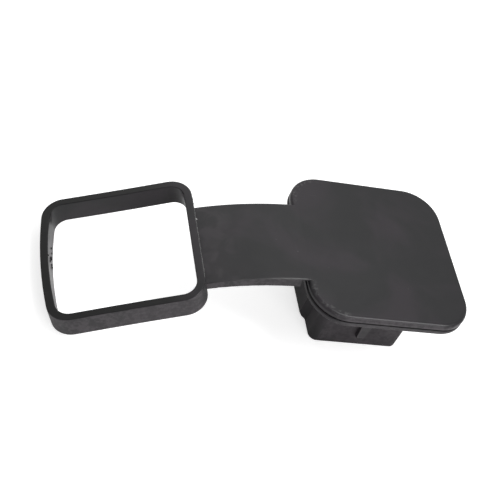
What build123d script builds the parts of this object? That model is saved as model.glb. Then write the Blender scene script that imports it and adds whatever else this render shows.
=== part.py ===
from build123d import *
import os
from math import asin, atan2, cos, degrees, hypot, radians, sin, tan

# Hitch receiver cover, one soft moulding: a square cap whose hollow plug fills the end of a
# square receiver tube, a flat strap, and a square loop that hooks over the outside of the tube.
# X runs along the cover from the loop to the cap, Y across it, Z up with the plug's rim on Z = 0.

# The tube that the cover fits
tube_inside = 50.8
tube_outside = 63.5

# Cap: a plate with a rounded edge, over a groove and a lip
cap_length = 81.0
cap_width = 86.0
cap_corner = 17.5
cap_round = 1.8
cap_side = 1.4
groove_height = 0.8
groove_depth = 2.0
lip_height = 2.0
edge_round = 0.4

# Plug under the cap, open at its rim, a little oversize over its pads so that it grips
plug_squeeze = 2.0
plug_depth = 38.0
plug_wall = 3.0
plug_corner = 4.0
pad_thickness = 2.9
rim_round = 0.5
hollow_corner = 1.0

# Grip pads on the left and right walls, wedges on the front and back walls
pad_outer_width = 17.0
pad_base_width = 25.0
pad_above_rim = 1.2
pad_lead_in = 1.0
wedge_top_width = 9.0
wedge_low_width = 3.8
wedge_above_rim = 7.5
wedge_ramp = 0.8
wedge_thickness = 2.4
wedge_low_thickness = 2.0

# Strap: an arc that droops from the cap to the loop and thins towards the loop
strap_length = 47.5
strap_width = 45.8
strap_cap_thickness = 5.8
strap_loop_thickness = 4.2
strap_start_angle = 5.0
strap_end_angle = 21.5
strap_round = 0.6

# Hinge: a slot across the underside where only a thin skin joins the strap to the cap
hinge_gap = 3.0
hinge_skin = 0.9
hinge_overlap = 2.6
hinge_slope = 2.5

# Loop: a frame of thin upright walls, its far side bowed outwards and its long sides drawn in,
# a little short inside so that it stretches over the tube
loop_wall = 3.7
loop_stretch = 1.4
loop_slack = 0.1
loop_depth = 11.4
loop_corner = 10.5
loop_bow = 2.8
loop_pinch = 0.3

# Places worked out from the sizes above
plug_side = tube_inside + plug_squeeze - 2 * pad_thickness
loop_length = tube_outside - loop_stretch + 2 * loop_wall
loop_width = tube_outside + loop_slack + 2 * loop_wall
lip_bottom = plug_depth
groove_bottom = lip_bottom + lip_height
plate_bottom = groove_bottom + groove_height
cap_top = plate_bottom + cap_side + cap_round
cap_left = -cap_length / 2
half_plug = plug_side / 2
hinge_x = cap_left + cap_round
strap_x = cap_left - hinge_gap
strap_z = cap_top - (hinge_x - strap_x) * tan(radians(hinge_slope))


def strap_point(along, below):
    """Point on the strap's side view, at a share of its length and a depth under its top."""
    start = radians(strap_start_angle)
    turn = radians(strap_end_angle - strap_start_angle)
    radius = (strap_length - hinge_gap) / turn
    angle = start + turn * along
    x = strap_x - radius * (sin(angle) - sin(start)) + below * sin(angle)
    z = strap_z - radius * (cos(start) - cos(angle)) - below * cos(angle)
    return (x, z)


def strap_thickness(along):
    """Thickness of the strap at a share of its length, even change from cap to loop."""
    return strap_cap_thickness + (strap_loop_thickness - strap_cap_thickness) * along


def loop_tilt():
    """Droop of the loop, in degrees, at which its far lower edge is level with the rim."""
    height = strap_point(1, 0)[1]
    reach = loop_length + loop_bow
    return degrees(asin(height / hypot(reach, strap_loop_thickness))
                   - atan2(strap_loop_thickness, reach))


def slab(length, width, corner, bottom, height):
    """Rounded rectangular slab centred on the cap."""
    return Pos(0, 0, bottom) * extrude(RectangleRounded(length, width, corner), height)


def cap():
    """Plate with a rounded edge, groove and lip, one over the other."""
    lip = slab(cap_length, cap_width, cap_corner, lip_bottom, lip_height)
    lip = fillet(lip.faces().sort_by(Axis.Z)[0].edges(), edge_round)
    lip = chamfer(lip.faces().sort_by(Axis.Z)[-1].edges(), edge_round)
    neck = slab(cap_length - 2 * groove_depth, cap_width - 2 * groove_depth,
                cap_corner - groove_depth, lip_bottom + lip_height / 2, groove_height + lip_height)
    plate = slab(cap_length, cap_width, cap_corner, plate_bottom, cap_side + cap_round)
    plate = chamfer(plate.faces().sort_by(Axis.Z)[0].edges(), edge_round)
    plate = fillet(plate.faces().sort_by(Axis.Z)[-1].edges(), cap_round)
    return lip + neck + plate


def plug_walls():
    """Square sleeve with a rounded rim."""
    sleeve = slab(plug_side, plug_side, plug_corner, 0, plug_depth + edge_round)
    return fillet(sleeve.faces().sort_by(Axis.Z)[0].edges(), rim_round)


def plug_hollow():
    """Space inside the plug, from the rim up to the underside of the cap."""
    side = plug_side - 2 * plug_wall
    hollow = slab(side, side, plug_corner - plug_wall, -edge_round, plug_depth + edge_round)
    return chamfer(hollow.faces().sort_by(Axis.Z)[-1].edges(), hollow_corner)


def grip_pad():
    """Raised pad on the wall that faces +X, bevelled at both ends and at its lower edge."""
    overlap = plug_wall / 2
    plan = Polygon((half_plug - overlap, -pad_base_width / 2),
                   (half_plug, -pad_base_width / 2),
                   (half_plug + pad_thickness, -pad_outer_width / 2),
                   (half_plug + pad_thickness, pad_outer_width / 2),
                   (half_plug, pad_base_width / 2),
                   (half_plug - overlap, pad_base_width / 2), align=None)
    pad = Pos(0, 0, pad_above_rim) * extrude(plan, lip_bottom + edge_round - pad_above_rim)
    low_edges = pad.faces().sort_by(Axis.Z)[0].edges().sort_by(Axis.X)[-1]
    return chamfer(low_edges, pad_lead_in)


def grip_wedge():
    """Raised wedge on the wall that faces +Y, narrower and thinner towards the rim."""
    top = lip_bottom + edge_round
    overlap = plug_wall / 2
    front = Plane.XZ * Polygon((-wedge_top_width / 2, top), (wedge_top_width / 2, top),
                               (wedge_low_width / 2, wedge_above_rim),
                               (-wedge_low_width / 2, wedge_above_rim), align=None)
    front = extrude(front, plug_side, both=True)
    outer = half_plug + wedge_thickness
    side = Plane.YZ * Polygon((half_plug - overlap, top), (outer, top),
                              (outer, wedge_above_rim + wedge_ramp),
                              (half_plug + wedge_low_thickness, wedge_above_rim),
                              (half_plug - overlap, wedge_above_rim), align=None)
    return front & extrude(side, wedge_top_width, both=True)


def strap():
    """Curved strap and its hinge skin, one side view pulled out to both sides, edges rounded."""
    inside_wall = loop_wall / 2
    tilt = radians(loop_tilt())
    top = [strap_point(share, 0) for share in (0, 0.5, 1)]
    low = [strap_point(share, strap_thickness(share)) for share in (0, 0.5, 1)]
    inner = [(x - inside_wall * cos(tilt), z - inside_wall * sin(tilt)) for x, z in (top[2], low[2])]
    skin_end = (hinge_x, cap_top)
    skin_inside = (cap_left + hinge_overlap, cap_top - hinge_skin / 2)
    skin_under = (cap_left + hinge_overlap, cap_top - hinge_skin)
    slot_top = strap_point(0, hinge_skin)
    lines = [Line(skin_end, top[0]), ThreePointArc(*top), Line(top[2], inner[0]),
             Line(inner[0], inner[1]), Line(inner[1], low[2]), ThreePointArc(*reversed(low)),
             Line(low[0], slot_top), Line(slot_top, skin_under),
             Line(skin_under, skin_inside), Line(skin_inside, skin_end)]
    side = Plane.XZ * make_face(Curve() + lines)
    body = extrude(side, strap_width / 2, both=True)
    arcs = body.edges().filter_by(GeomType.CIRCLE)
    return fillet(arcs, strap_round)


def loop_outline(inset):
    """Plan of the loop, drawn in from its outside by the inset, corners rounded."""
    near = -inset
    far = -loop_length + inset
    half = loop_width / 2 - inset
    middle = (near + far) / 2
    waist = half - loop_pinch
    lines = [ThreePointArc((far, half), (middle, waist), (near, half)),
             Line((near, half), (near, -half)),
             ThreePointArc((near, -half), (middle, -waist), (far, -half)),
             ThreePointArc((far, -half), (far - loop_bow, 0), (far, half))]
    face = make_face(Curve() + lines)
    return fillet(face.vertices(), loop_corner - inset)


def loop():
    """Frame of upright walls, tilted down at the end of the strap and flush with its underside."""
    frame = extrude(loop_outline(0) - loop_outline(loop_wall), loop_depth)
    frame = fillet(frame.faces().sort_by(Axis.Z)[0].edges(), edge_round)
    frame = fillet(frame.faces().sort_by(Axis.Z)[-1].edges(), edge_round)
    end_x, end_z = strap_point(1, 0)
    return Pos(end_x, 0, end_z) * Rot(0, -loop_tilt(), 0) * Pos(0, 0, -strap_loop_thickness) * frame


def receiver_cover():
    """The whole moulding, with the middle of its length on X = 0."""
    body = cap() + plug_walls()
    for turn in (0, 180):
        body += Rot(0, 0, turn) * grip_pad()
        body += Rot(0, 0, turn) * grip_wedge()
    body -= plug_hollow()
    body += [strap(), loop()]
    return Pos(-body.bounding_box().center().X, 0, 0) * body


os.makedirs("parts", exist_ok=True)
cover = receiver_cover()
cover.label = "receiver_cover"
export_step(cover, "parts/receiver_cover.step")
print("size", cover.bounding_box().size, "solids", len(cover.solids()), "volume", cover.volume)
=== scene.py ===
import math

import bpy
import numpy as np
from mathutils import Matrix, Vector


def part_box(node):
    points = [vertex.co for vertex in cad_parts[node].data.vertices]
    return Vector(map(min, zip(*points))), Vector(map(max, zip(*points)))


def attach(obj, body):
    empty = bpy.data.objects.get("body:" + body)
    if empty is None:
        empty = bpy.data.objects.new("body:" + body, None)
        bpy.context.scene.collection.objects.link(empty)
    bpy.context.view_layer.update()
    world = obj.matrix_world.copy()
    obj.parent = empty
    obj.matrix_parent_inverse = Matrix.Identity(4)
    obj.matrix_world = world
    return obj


# Hitch receiver cover in satin black rubber: cap with plug, strap and retaining loop in one
# moulding. All lengths are in metres, with the cover's open plug rim on Z = 0.

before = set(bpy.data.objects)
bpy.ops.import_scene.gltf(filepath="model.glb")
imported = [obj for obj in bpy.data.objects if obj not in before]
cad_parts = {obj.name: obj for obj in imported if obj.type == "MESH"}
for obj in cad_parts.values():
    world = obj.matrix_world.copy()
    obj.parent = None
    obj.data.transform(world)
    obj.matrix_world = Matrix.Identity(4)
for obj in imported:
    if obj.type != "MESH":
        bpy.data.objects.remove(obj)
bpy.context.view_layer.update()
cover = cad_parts["receiver_cover"]
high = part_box("receiver_cover")[1]

# Sizes of the cap, plug and strap that places in this script are worked out from
CAP_LENGTH = 0.081
CAP_LEFT_TOP = Vector((high.x - CAP_LENGTH, 0.0, high.z))
CAP_CORNER_RADIUS = 0.0175
CAP_CORNER_X = CAP_LEFT_TOP.x + CAP_CORNER_RADIUS
CAP_CORNER_Y = high.y - CAP_CORNER_RADIUS
CAP_ROUND = 0.0018
CAP_THICKNESS = 0.0060
LIP_BOTTOM = high.z - CAP_THICKNESS
WEDGE_FACE = 0.0259
STRAP_HALF_WIDTH = 0.0229

# Loop, whose own frame starts under the strap's end: along it, across it and up its walls
LOOP_TILT = math.radians(24.34)
LOOP_ROOT = CAP_LEFT_TOP + Vector((-0.04443, 0.0, -0.01420))
LOOP_ALONG = Vector((math.cos(LOOP_TILT), 0.0, math.sin(LOOP_TILT)))
LOOP_UP = Vector((-math.sin(LOOP_TILT), 0.0, math.cos(LOOP_TILT)))
LOOP_LENGTH = 0.0695
LOOP_DEPTH = 0.0114
LOOP_WALL = 0.0037
LOOP_BOW = 0.0028
LOOP_HALF_INSIDE = 0.0318
LOOP_MIDDLE = LOOP_ROOT - LOOP_ALONG * (LOOP_LENGTH / 2) + LOOP_UP * (LOOP_DEPTH / 2)

# Moulding flash along the upper edge of the loop's near wall: a mean height, then waves of a
# share of the full height, each with its radians per metre and its start
FLASH_HALF_LENGTH = 0.0245
FLASH_HEIGHT = 0.00040
FLASH_THICKNESS = 0.00022
FLASH_TAPER = 3.0
FLASH_SINK = 0.00022
FLASH_STEPS = 181
FLASH_MEAN = 0.48
FLASH_WAVES = ((0.26, 2100.0, 0.0), (0.20, 4700.0, 1.0), (0.18, 900.0, 2.0))
FLASH_LEAST = 0.05
FLASH_FADE = 8.0
FLASH_LEAN = math.radians(45.0)

# Nib, the one long sliver of the flash
NIB_ACROSS = 0.0098
NIB_LENGTH = 0.0012
NIB_RADIUS = 0.00038
NIB_TIP = 0.2
NIB_BEND = 1.3
NIB_DROP = 0.5
NIB_DRIFT = 0.25
NIB_FLATNESS = 0.6
NIB_RINGS = 17
NIB_POINTS = 10

# Crumbs of torn rubber on the loop's far wall: across, up the wall, and mean radius
CRUMBS = ((0.0125, 0.0043, 0.00060), (0.0105, 0.0029, 0.00055), (0.0033, 0.0108, 0.00045),
          (0.0060, 0.0049, 0.00095), (0.0027, 0.0070, 0.00055), (0.0032, 0.0034, 0.00075),
          (0.0022, 0.0028, 0.00070))
CRUMB_RINGS = 13
CRUMB_POINTS = 18
CRUMB_POLE = 0.02
CRUMB_LOBES = 0.16
CRUMB_LOBE_COUNT = 3.0
CRUMB_WAIST = 0.14
CRUMB_WAIST_COUNT = 4.0
CRUMB_KNOBS = 0.10
CRUMB_KNOB_COUNT = 5.0
CRUMB_KNOB_TURN = 2.0
CRUMB_STAND_OUT = 0.7
CRUMB_HEIGHT = 0.9

# Camera, from the middle of the cap's left edge on its top
CAMERA_PLACE = Vector((-0.21664, -0.34975, 0.38232))
CAMERA_AIM = Vector((-0.01690, 0.00863, -0.01990))
CAMERA_ROLL = math.radians(27.68)
LENS_MM = 86.96
SENSOR_MM = 36.0
CLIP_START = 0.01

# Stage: floor, surround, and the share of their glow that shows in reflections
FLOOR_HALF = 3.0
FLOOR_GAP = 0.0001
FLOOR_COLOUR = (0.80, 0.80, 0.80, 1.0)
FLOOR_GLOW = 0.64
FLOOR_MIRRORED = 0.30
WORLD_GLOW = 0.48
WORLD_MIRRORED = 0.12
WHITE = (1.0, 1.0, 1.0, 1.0)

# Lamps: name, place, width and height, power, and turn about the line to their aim
LAMP_AIM = Vector((0.0, 0.0, 0.03))
LAMPS = (("softbox", (0.04, 0.75, 0.85), (1.3, 0.6), 2.15, -0.48),
         ("overhead", (0.40, -0.24, 0.92), (0.4, 0.75), 6.3, 0.0),
         ("front", (0.35, -1.00, 0.55), (0.8, 0.5), 3.9, 0.0))

# Rubber colours, dark to pale
# Darkest tone: painted shade on the loop's top, and the dark of the torn crumbs
RUBBER_BLACK_AND_SHADE = (0.003, 0.003, 0.003, 1.0)
RUBBER_DARK = (0.011, 0.011, 0.012, 1.0)
RUBBER_LIGHT = (0.0195, 0.0162, 0.0198, 1.0)
# Bloom tone: pale bloom and grease marks, and painted light on the walls facing front or back
RUBBER_BLOOM_AND_WALL_LIGHT = (0.045, 0.039, 0.044, 1.0)
# Scuff tone: scratches, chafing, the wedges' faces and the flash, and the painted highlight on the
# strap's edges
RUBBER_SCUFF_AND_HIGHLIGHT = (0.10, 0.10, 0.10, 1.0)
# Frayed tone: the flash's torn rubber, partly a painted highlight along its edge
RUBBER_FRAYED_AND_HIGHLIGHT = (0.20, 0.20, 0.20, 1.0)
RUBBER_DUST = (0.25, 0.25, 0.25, 1.0)
# Pale tone: the nib's torn rubber, partly a painted highlight
RUBBER_PALE_AND_HIGHLIGHT = (0.55, 0.55, 0.55, 1.0)

# Rubber shine, where the outer walls and the plug's walls add to the roughness
RUBBER_SPECULAR = 0.34
RUBBER_IOR = 1.5
SATIN_ROUGHNESS = (0.28, 0.34)
OUTER_ROUGHNESS = 0.14
PLUG_ROUGHNESS = 0.22
TORN_ROUGHNESS = 0.62

# Patterns in the rubber: size of their patches, detail, roughness and distortion
CLOUDS = (0.034, 3.0, 0.5, 0.6)
HANDLING = (0.018, 3.0, 0.55, 1.2)
SMEARS = (0.011, 3.0, 0.55, 1.0)
SCRATCHES = (0.010, 2.0, 0.5, 0.3)
WAVES = (0.009, 2.0, 0.5, 0.0)
GREASE = (0.008, 2.0, 0.5, 0.8)
MOTTLE = (0.0019, 4.0, 0.62, 0.0)
RAGS = (0.0009, 3.0, 0.6, 0.0)
GRAIN = (0.00035, 2.0, 0.5, 0.0)

# Size of the dust's cells, and how the pattern of scratches is drawn out and turned
DUST_SIZE = 0.005
SCRATCH_STRETCH = (1.0, 18.0, 1.0)
SCRATCH_TURN = (0.0, 0.0, -0.6)

# Levels of a pattern between which it fades from its first tone or mark to its second
TONE_LEVELS = (0.38, 0.62)
HANDLING_LEVELS = (0.35, 0.65)
BLOOM_LEVELS = (0.42, 0.58)
SCRATCH_LEVELS = (0.70, 0.76)
SCRATCHED_CLOUDS = (0.54, 0.64)
DUSTY_CLOUDS = (0.50, 0.60)
DUST_REACH = (0.05, 0.02)
GREASE_LEVELS = (0.36, 0.64)
CHAFE_LEVELS = (0.50, 0.60)
TORN_LEVELS = (0.38, 0.62)

# Parts of a normal between which a face turns from one kind to the next
WALL_FACING = (0.80, 0.45)
FRONT_LIGHT_FACING = (0.3, 0.8)
EDGE_FACING = (0.2, 0.5)
CHAFE_FACING = (0.4, 0.8)

# Places between which a mark fades in
OUTWARD_FADE = (0.0, 0.012)
# Where the painted shade on the loop's top fades in
LOOP_TOP_SHADE_FADE = (LOOP_ROOT.x - 0.006, LOOP_ROOT.x - 0.022)
GREASE_LOOP_FADE = (LOOP_ROOT.x - 0.008, LOOP_ROOT.x - 0.002)
GREASE_STRAP_FADE = (LOOP_ROOT.x + 0.020, LOOP_ROOT.x + 0.005)
STRAP_LOOP_FADE = (LOOP_ROOT.x, LOOP_ROOT.x + 0.002)
STRAP_CAP_FADE = (CAP_LEFT_TOP.x, CAP_LEFT_TOP.x - 0.002)
STRAP_EDGE_FADE = (STRAP_HALF_WIDTH - 0.0009, STRAP_HALF_WIDTH - 0.0003)
STRAP_HIGHLIGHT_FADE = (CAP_LEFT_TOP.x - 0.024, CAP_LEFT_TOP.x - 0.008)
PLUG_SIDE_FADE = (CAP_LEFT_TOP.x, CAP_LEFT_TOP.x + 0.002)
PLUG_TOP_FADE = (LIP_BOTTOM, LIP_BOTTOM - 0.0005)
WEDGE_FADE = (WEDGE_FACE - 0.0007, WEDGE_FACE - 0.0003)
CORNER_X_FADE = (-0.001, 0.003)
CORNER_Y_FADE = (-0.004, 0.0)
CHAFE_FADE = (0.0020, 0.0004)

# How strongly each mark shows, at its weakest and strongest where it has two shares
NONE_TO_ALL = (0.0, 1.0)
BLOOM_SHARES = (0.20, 1.0)
BLOOM_MOTTLE = 0.6
PLUG_CALM = (1.0, 0.5)
FRONT_LIGHT_SHARES = (0.1, 1.0)
WEDGE_SHARE = 0.25
SCRATCH_SHARE = 0.35
DUST_SHARE = 0.35
STRAP_HIGHLIGHT_SHARES = (0.15, 0.60)
GREASE_SHARES = (0.3, 1.0)
GREASE_SHARE = 0.5
CHAFE_SHARE = 0.35

# Relief of the rubber: long waves, and a fine grain with the mottling over it
WAVE_STRENGTH = 0.2
WAVE_HEIGHT = 0.0004
GRAIN_STRENGTH = 0.35
GRAIN_HEIGHT = 0.00012
GRAIN_SHARE = 0.30
MOTTLE_SHARES = (0.15, 0.9)
TORN_STRENGTH = 0.5
TORN_HEIGHT = 0.0001

# Sockets of a Mix node that holds colours
MIX_SHARE, MIX_FIRST, MIX_SECOND, MIX_RESULT = 0, 6, 7, 2


class Nodes:
    """Short way to add shader nodes to one tree and to join their sockets."""

    def __init__(self, tree):
        self.tree = tree
        self.tree.nodes.clear()

    def add(self, kind, inputs=None, **settings):
        """Adds a node, sets its properties, and fills or links its inputs."""
        node = self.tree.nodes.new(kind)
        for name, value in settings.items():
            setattr(node, name, value)
        for name, value in (inputs or {}).items():
            if isinstance(value, bpy.types.NodeSocket):
                self.tree.links.new(value, node.inputs[name])
            else:
                node.inputs[name].default_value = value
        return node

    def noise(self, place, size, detail, roughness, distortion):
        """Noise whose patches are about size metres across, from 0 to 1."""
        inputs = {"Vector": place, "Scale": 1.0 / size, "Detail": detail,
                  "Roughness": roughness, "Distortion": distortion}
        return self.add("ShaderNodeTexNoise", inputs).outputs["Fac"]

    def band(self, value, levels, shares=NONE_TO_ALL):
        """Maps value from the two levels to the two shares, smooth and clamped."""
        inputs = {"Value": value, "From Min": levels[0], "From Max": levels[1],
                  "To Min": shares[0], "To Max": shares[1]}
        return self.add("ShaderNodeMapRange", inputs,
                        interpolation_type="SMOOTHSTEP").outputs["Result"]

    def maths(self, operation, first, second=0.0):
        """One arithmetic step on two values."""
        node = self.add("ShaderNodeMath", {0: first, 1: second}, operation=operation)
        return node.outputs["Value"]

    def product(self, first, *others):
        """Multiplies any number of values."""
        result = first
        for other in others:
            result = self.maths("MULTIPLY", result, other)
        return result

    def vector_maths(self, operation, inputs, output):
        """One step on vectors, of which the named output is kept."""
        node = self.add("ShaderNodeVectorMath", dict(enumerate(inputs)), operation=operation)
        return node.outputs[output]

    def blend(self, share, first, second):
        """Mixes two colours by a share from 0 to 1."""
        inputs = {MIX_SHARE: share, MIX_FIRST: first, MIX_SECOND: second}
        node = self.add("ShaderNodeMix", inputs, data_type="RGBA", blend_type="MIX")
        return node.outputs[MIX_RESULT]

    def relief(self, height, strength, distance, normal=None):
        """Normal bent by a height, over another normal where one is given."""
        inputs = {"Height": height, "Strength": strength, "Distance": distance}
        if normal is not None:
            inputs["Normal"] = normal
        return self.add("ShaderNodeBump", inputs).outputs["Normal"]

    def rubber(self, colour, roughness, normal):
        """Rubber shader with the given colour, roughness and normal, joined to the output."""
        shader = self.add("ShaderNodeBsdfPrincipled", {
            "Base Color": colour, "Roughness": roughness, "Normal": normal,
            "Specular IOR Level": RUBBER_SPECULAR, "IOR": RUBBER_IOR})
        self.add("ShaderNodeOutputMaterial", {"Surface": shader.outputs["BSDF"]})

    def seen_directly(self, mirrored_share):
        """1 for what the camera sees, and a share of that for what shows in reflections."""
        rays = self.add("ShaderNodeLightPath").outputs
        mirrored = self.maths("MAXIMUM", rays["Is Glossy Ray"], rays["Is Transmission Ray"])
        return self.maths("ADD", rays["Is Camera Ray"], self.product(mirrored, mirrored_share))


class SatinRubber(Nodes):
    """Nodes of the moulded rubber, with the places and patterns that its marks share."""

    def __init__(self, tree):
        super().__init__(tree)
        coordinates = self.add("ShaderNodeTexCoord").outputs
        self.place = coordinates["Object"]
        normal = coordinates["Normal"]
        at = self.add("ShaderNodeSeparateXYZ", {"Vector": self.place}).outputs
        facing = self.add("ShaderNodeSeparateXYZ", {"Vector": normal}).outputs
        self.along = at["X"]
        self.off_middle = self.maths("ABSOLUTE", at["Y"])
        self.height = at["Z"]
        self.facing_up = facing["Z"]
        self.facing_front = self.maths("ABSOLUTE", facing["Y"])
        self.clouds = self.noise(self.place, *CLOUDS)
        self.mottle = self.noise(self.place, *MOTTLE)
        self.wall = self.band(self.facing_up, WALL_FACING)
        self.top = self.maths("SUBTRACT", 1.0, self.wall)
        self.outer = self.outer_walls(normal)
        self.plug = self.product(self.band(self.height, PLUG_TOP_FADE),
                                 self.band(self.along, PLUG_SIDE_FADE))

    def outer_walls(self, normal):
        """Walls that face away from the middle of the loop."""
        from_middle = self.vector_maths("SUBTRACT", (self.place, LOOP_MIDDLE), "Vector")
        outward = self.vector_maths("DOT_PRODUCT", (from_middle, normal), "Value")
        return self.product(self.wall, self.band(outward, OUTWARD_FADE))

    def loop_top_painted_shade(self):
        """Top of the loop, darkened with painted shade."""
        return self.product(self.band(self.along, LOOP_TOP_SHADE_FADE), self.top)

    def bloom_and_wall_light(self):
        """Pale bloom in fine mottling and larger smears on the outer walls, calmer on the plug, with
        painted light on walls facing front or back.
        """
        smears = self.noise(self.place, *SMEARS)
        patchy = self.maths("ADD", self.product(self.mottle, BLOOM_MOTTLE),
                            self.product(smears, 1.0 - BLOOM_MOTTLE))
        middle = sum(BLOOM_LEVELS) / 2
        calm = self.band(self.plug, NONE_TO_ALL, PLUG_CALM)
        patchy = self.maths("ADD", self.product(self.maths("SUBTRACT", patchy, middle), calm), middle)
        return self.product(self.band(patchy, BLOOM_LEVELS, BLOOM_SHARES), self.outer,
                            self.band(self.facing_front, FRONT_LIGHT_FACING, FRONT_LIGHT_SHARES))

    def wedge_faces(self):
        """Raised faces of the plug's wedges, made paler."""
        return self.product(self.plug, self.band(self.off_middle, WEDGE_FADE), WEDGE_SHARE)

    def scratches(self):
        """Fine scratches in one direction, in the paler clouds only."""
        stretched = self.add("ShaderNodeMapping", {"Vector": self.place,
                                                   "Rotation": SCRATCH_TURN,
                                                   "Scale": SCRATCH_STRETCH}).outputs["Vector"]
        lines = self.band(self.noise(stretched, *SCRATCHES), SCRATCH_LEVELS)
        return self.product(lines, self.band(self.clouds, SCRATCHED_CLOUDS), SCRATCH_SHARE)

    def dust(self):
        """Specks of dust, one round the point of each cell, in the paler clouds only."""
        cells = self.add("ShaderNodeTexVoronoi", {"Vector": self.place, "Scale": 1.0 / DUST_SIZE})
        return self.product(self.band(cells.outputs["Distance"], DUST_REACH),
                            self.band(self.clouds, DUSTY_CLOUDS), DUST_SHARE)

    def strap_edge_highlight(self):
        """Painted highlight along the strap's long upper edges, stronger towards the cap."""
        return self.product(self.band(self.off_middle, STRAP_EDGE_FADE),
                            self.band(self.along, STRAP_CAP_FADE),
                            self.band(self.along, STRAP_LOOP_FADE),
                            self.band(self.facing_up, EDGE_FACING),
                            self.band(self.along, STRAP_HIGHLIGHT_FADE, STRAP_HIGHLIGHT_SHARES))

    def grease(self):
        """Handling marks on the strap where it meets the loop."""
        marks = self.noise(self.place, *GREASE)
        return self.product(self.band(self.along, GREASE_STRAP_FADE),
                            self.band(self.along, GREASE_LOOP_FADE), self.top,
                            self.band(marks, GREASE_LEVELS, GREASE_SHARES), GREASE_SHARE)

    def chafed_corners(self):
        """Specks along the rounded upper edge at the cap's two corners beside the strap."""
        past_x = self.maths("SUBTRACT", CAP_CORNER_X, self.along)
        past_y = self.maths("SUBTRACT", self.off_middle, CAP_CORNER_Y)
        from_centre = self.add("ShaderNodeCombineXYZ", {
            "X": self.maths("MAXIMUM", past_x, 0.0),
            "Y": self.maths("MAXIMUM", past_y, 0.0)}).outputs["Vector"]
        reach = self.vector_maths("LENGTH", (from_centre,), "Value")
        off_edge = self.maths("SUBTRACT", reach, CAP_CORNER_RADIUS - CAP_ROUND)
        return self.product(self.band(self.maths("ABSOLUTE", off_edge), CHAFE_FADE),
                            self.band(self.mottle, CHAFE_LEVELS),
                            self.band(past_x, CORNER_X_FADE), self.band(past_y, CORNER_Y_FADE),
                            self.band(self.facing_up, CHAFE_FACING), CHAFE_SHARE)

    def colour(self):
        """Clouded dark rubber, with each mark laid over it in turn, painted shade on the loop's top
        and painted light on walls and strap edges among them.
        """
        colour = self.blend(self.band(self.clouds, TONE_LEVELS), RUBBER_DARK, RUBBER_LIGHT)
        marks = ((self.loop_top_painted_shade, RUBBER_BLACK_AND_SHADE), (self.bloom_and_wall_light, RUBBER_BLOOM_AND_WALL_LIGHT),
                 (self.wedge_faces, RUBBER_SCUFF_AND_HIGHLIGHT), (self.scratches, RUBBER_SCUFF_AND_HIGHLIGHT),
                 (self.dust, RUBBER_DUST), (self.strap_edge_highlight, RUBBER_SCUFF_AND_HIGHLIGHT),
                 (self.grease, RUBBER_BLOOM_AND_WALL_LIGHT), (self.chafed_corners, RUBBER_SCUFF_AND_HIGHLIGHT))
        for mark, tone in marks:
            colour = self.blend(mark(), colour, tone)
        return colour

    def roughness(self):
        """Satin with handling marks, duller on the outer walls and on the plug."""
        handled = self.noise(self.place, *HANDLING)
        roughness = self.band(handled, HANDLING_LEVELS, SATIN_ROUGHNESS)
        for walls, more in ((self.outer, OUTER_ROUGHNESS), (self.plug, PLUG_ROUGHNESS)):
            roughness = self.maths("ADD", roughness, self.product(walls, more))
        return roughness

    def normal(self):
        """Long waves, with grain everywhere and mottling mostly on the outer walls."""
        waves = self.relief(self.noise(self.place, *WAVES), WAVE_STRENGTH, WAVE_HEIGHT)
        grain = self.product(self.noise(self.place, *GRAIN), GRAIN_SHARE)
        mottling = self.product(self.mottle, self.band(self.outer, NONE_TO_ALL, MOTTLE_SHARES))
        fine = self.maths("ADD", grain, mottling)
        return self.relief(fine, GRAIN_STRENGTH, GRAIN_HEIGHT, waves)


def new_material(name, kind):
    """Material of that name with its nodes of the given kind, and nothing in them yet."""
    material = bpy.data.materials.new(name)
    material.use_nodes = True
    return material, kind(material.node_tree)


def rubber_material():
    """Satin black rubber: smooth on top, mottled and duller on the outer walls, with wear, painted
    shade on the loop's top and painted light on walls and strap edges.
    """
    material, n = new_material("satin_rubber", SatinRubber)
    n.rubber(n.colour(), n.roughness(), n.normal())
    return material


def torn_material(name, dark, pale):
    """Torn rubber: dull, with a ragged mix of a dark and a pale tone."""
    material, n = new_material(name, Nodes)
    place = n.add("ShaderNodeTexCoord").outputs["Object"]
    ragged = n.noise(place, *RAGS)
    colour = n.blend(n.band(ragged, TORN_LEVELS), dark, pale)
    n.rubber(colour, TORN_ROUGHNESS, n.relief(ragged, TORN_STRENGTH, TORN_HEIGHT))
    return material


def stage_material():
    """Pale floor that glows to the camera, less in reflections, and keeps the shadow."""
    material, n = new_material("pale_stage", Nodes)
    strength = n.product(n.seen_directly(FLOOR_MIRRORED), FLOOR_GLOW)
    card = n.add("ShaderNodeBsdfDiffuse", {"Color": FLOOR_COLOUR})
    glow = n.add("ShaderNodeEmission", {"Color": WHITE, "Strength": strength})
    both = n.add("ShaderNodeAddShader", {0: card.outputs["BSDF"], 1: glow.outputs["Emission"]})
    n.add("ShaderNodeOutputMaterial", {"Surface": both.outputs["Shader"]})
    return material


def on_loop(along, across, height):
    """Places in the loop's own frame as world places: root plus each length along its axis."""
    axes = np.array((LOOP_ALONG, (0.0, 1.0, 0.0), LOOP_UP))
    lengths = np.stack(np.broadcast_arrays(along, across, height), axis=-1)
    return np.array(LOOP_ROOT) + lengths @ axes


def rubber_piece(name, places, faces, material):
    """Smooth mesh of the given places and faces that rides with the cover."""
    mesh = bpy.data.meshes.new(name)
    mesh.from_pydata(places.reshape(-1, 3).tolist(), [], faces)
    mesh.shade_smooth()
    mesh.materials.append(material)
    piece = bpy.data.objects.new(name, mesh)
    bpy.context.scene.collection.objects.link(piece)
    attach(piece, "root")


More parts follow.
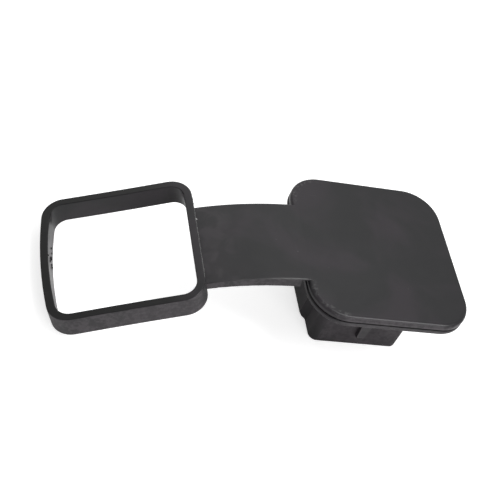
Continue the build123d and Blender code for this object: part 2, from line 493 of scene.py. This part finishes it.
def tube_faces(rings, points):
    """Faces of a tube of rings, each with the same number of points, closed at both ends."""
    ring, point = np.meshgrid(np.arange(rings - 1), np.arange(points), indexing="ij")
    after = (point + 1) % points
    walls = np.stack((ring * points + point, (ring + 1) * points + point,
                      (ring + 1) * points + after, ring * points + after), axis=-1)
    last = (rings - 1) * points
    ends = [tuple(range(points)), tuple(range(last + points - 1, last - 1, -1))]
    return walls.reshape(-1, 4).tolist() + ends


def ring_turns(points):
    """Angles of the points round one ring, as a row."""
    return np.linspace(0.0, 2.0 * math.pi, points, endpoint=False)[None, :]


def make_flash(material):
    """Ragged fin along an edge: a thin wedge whose height is a mean plus three sine waves, kept
    above a least share, that falls in a straight line to that share of itself at both ends. It
    leans out halfway between the wall and its top."""
    across = np.linspace(-FLASH_HALF_LENGTH, FLASH_HALF_LENGTH, FLASH_STEPS)
    waves = FLASH_MEAN + sum(share * np.sin(across * pace + start)
                             for share, pace, start in FLASH_WAVES)
    fade = np.clip((1.0 - np.abs(across) / FLASH_HALF_LENGTH) * FLASH_FADE, FLASH_LEAST, 1.0)
    height = FLASH_HEIGHT * np.clip(waves, FLASH_LEAST, 1.0) * fade
    half = FLASH_THICKNESS / 2
    tip = half / FLASH_TAPER
    profile = ((-FLASH_SINK, half, 0.0), (0.0, tip, 1.0), (0.0, -tip, 1.0), (-FLASH_SINK, -half, 0.0))
    out_share, up_share = math.sin(FLASH_LEAN), math.cos(FLASH_LEAN)
    rings = [on_loop((base + share * height) * out_share + sideways * up_share, across,
                     LOOP_DEPTH + (base + share * height) * up_share - sideways * out_share)
             for base, sideways, share in profile]
    places = np.stack(rings, axis=1)
    rubber_piece("flash_fin", places, tube_faces(FLASH_STEPS, len(profile)), material)


def make_nib(material):
    """Curled sliver of flash: a tube that narrows with the square of the way along it. It
    follows a circle's arc out of the edge and down, with the drop cut to a share."""
    share = np.linspace(0.0, 1.0, NIB_RINGS)[:, None]
    turn = ring_turns(NIB_POINTS)
    bend = share * NIB_BEND
    radius = NIB_RADIUS * (1.0 - (1.0 - NIB_TIP) * share ** 2)
    along = (NIB_LENGTH * np.sin(bend) / NIB_BEND
             + radius * np.cos(turn) * np.sin(bend) * NIB_FLATNESS)
    height = (LOOP_DEPTH - FLASH_SINK + NIB_DROP * NIB_LENGTH * (np.cos(bend) - 1.0) / NIB_BEND
              + radius * np.cos(turn) * np.cos(bend))
    across = NIB_ACROSS - NIB_LENGTH * NIB_DRIFT * share + radius * np.sin(turn)
    places = on_loop(along - FLASH_SINK, across, height)
    rubber_piece("flash_nib", places, tube_faces(NIB_RINGS, NIB_POINTS), material)


def make_crumb(number, across, height, mean_radius, material):
    """Lump on the far wall, whose bow is taken as a parabola across the loop: a ball, flattened
    against the wall, whose radius swells and shrinks with three waves, one round it, one that
    winds down it, and one round it that fades towards its poles."""
    fall = np.linspace(CRUMB_POLE, math.pi - CRUMB_POLE, CRUMB_RINGS)[:, None]
    turn = ring_turns(CRUMB_POINTS)
    knobs = np.cos(CRUMB_KNOB_COUNT * turn + CRUMB_KNOB_TURN * number) * np.sin(fall)
    swell = (1.0 + CRUMB_LOBES * np.sin(CRUMB_LOBE_COUNT * turn + number)
             + CRUMB_WAIST * np.sin(CRUMB_WAIST_COUNT * fall + turn)
             + CRUMB_KNOBS * knobs)
    radius = mean_radius * swell
    wall = LOOP_WALL - LOOP_LENGTH - LOOP_BOW * (1.0 - (across / LOOP_HALF_INSIDE) ** 2)
    along = wall + CRUMB_STAND_OUT * radius * np.sin(fall) * np.cos(turn)
    sideways = across + radius * np.sin(fall) * np.sin(turn)
    up = height + CRUMB_HEIGHT * radius * np.cos(fall)
    places = on_loop(along, sideways, up)
    rubber_piece(f"rubber_crumb_{number}", places, tube_faces(CRUMB_RINGS, CRUMB_POINTS), material)


def make_floor():
    """Flat square floor just under the cover."""
    h, z = FLOOR_HALF, -FLOOR_GAP
    mesh = bpy.data.meshes.new("floor")
    mesh.from_pydata([(-h, -h, z), (h, -h, z), (h, h, z), (-h, h, z)], [], [(0, 1, 2, 3)])
    mesh.materials.append(stage_material())
    floor = bpy.data.objects.new("floor", mesh)
    bpy.context.scene.collection.objects.link(floor)


def make_world():
    """Even white surround: full strength to the camera, softer in reflections and as light."""
    world = bpy.data.worlds.new("surround")
    world.use_nodes = True
    bpy.context.scene.world = world
    n = Nodes(world.node_tree)
    extra = n.product(n.seen_directly(WORLD_MIRRORED), 1.0 - WORLD_GLOW)
    strength = n.maths("ADD", extra, WORLD_GLOW)
    back = n.add("ShaderNodeBackground", {"Color": WHITE, "Strength": strength})
    n.add("ShaderNodeOutputWorld", {"Surface": back.outputs["Background"]})


def aimed(place, aim, roll):
    """Matrix at place that looks at aim, with the picture turned by roll about that line."""
    forward = (aim - place).normalized()
    level = forward.cross(Vector((0.0, 0.0, 1.0))).normalized()
    upright = level.cross(forward)
    right = level * math.cos(roll) + upright * math.sin(roll)
    up = right.cross(forward)
    turn = Matrix((right, up, -forward)).transposed()
    return Matrix.Translation(place) @ turn.to_4x4()


def make_camera():
    """Camera at the photograph's viewing angle."""
    data = bpy.data.cameras.new("camera")
    data.lens = LENS_MM
    data.sensor_width = SENSOR_MM
    data.clip_start = CLIP_START
    camera = bpy.data.objects.new("camera", data)
    place = CAP_LEFT_TOP + CAMERA_PLACE
    camera.matrix_world = aimed(place, CAP_LEFT_TOP + CAMERA_AIM, CAMERA_ROLL)
    bpy.context.scene.collection.objects.link(camera)
    bpy.context.scene.camera = camera


def make_lamp(name, place, size, power, roll):
    """Soft lamp at place, as wide and high as size says, turned by roll about its aim."""
    data = bpy.data.lights.new(name, "AREA")
    data.shape = "RECTANGLE"
    data.size, data.size_y = size
    data.energy = power
    lamp = bpy.data.objects.new(name, data)
    lamp.matrix_world = aimed(Vector(place), LAMP_AIM, roll)
    bpy.context.scene.collection.objects.link(lamp)


cover.data.materials.clear()
cover.data.materials.append(rubber_material())
# Flash and nib in pale tones: torn rubber paler in itself, and partly a painted highlight on these
# thin edges
make_flash(torn_material("frayed_rubber_and_highlight", RUBBER_SCUFF_AND_HIGHLIGHT, RUBBER_FRAYED_AND_HIGHLIGHT))
make_nib(torn_material("pale_torn_rubber_and_highlight", RUBBER_FRAYED_AND_HIGHLIGHT, RUBBER_PALE_AND_HIGHLIGHT))
torn_rubber = torn_material("torn_rubber", RUBBER_BLACK_AND_SHADE, RUBBER_DARK)
for crumb_number, crumb in enumerate(CRUMBS, 1):
    make_crumb(crumb_number, *crumb, torn_rubber)
make_world()
make_floor()
make_camera()
for lamp in LAMPS:
    make_lamp(*lamp)

bpy.context.scene.view_settings.view_transform = "Standard"
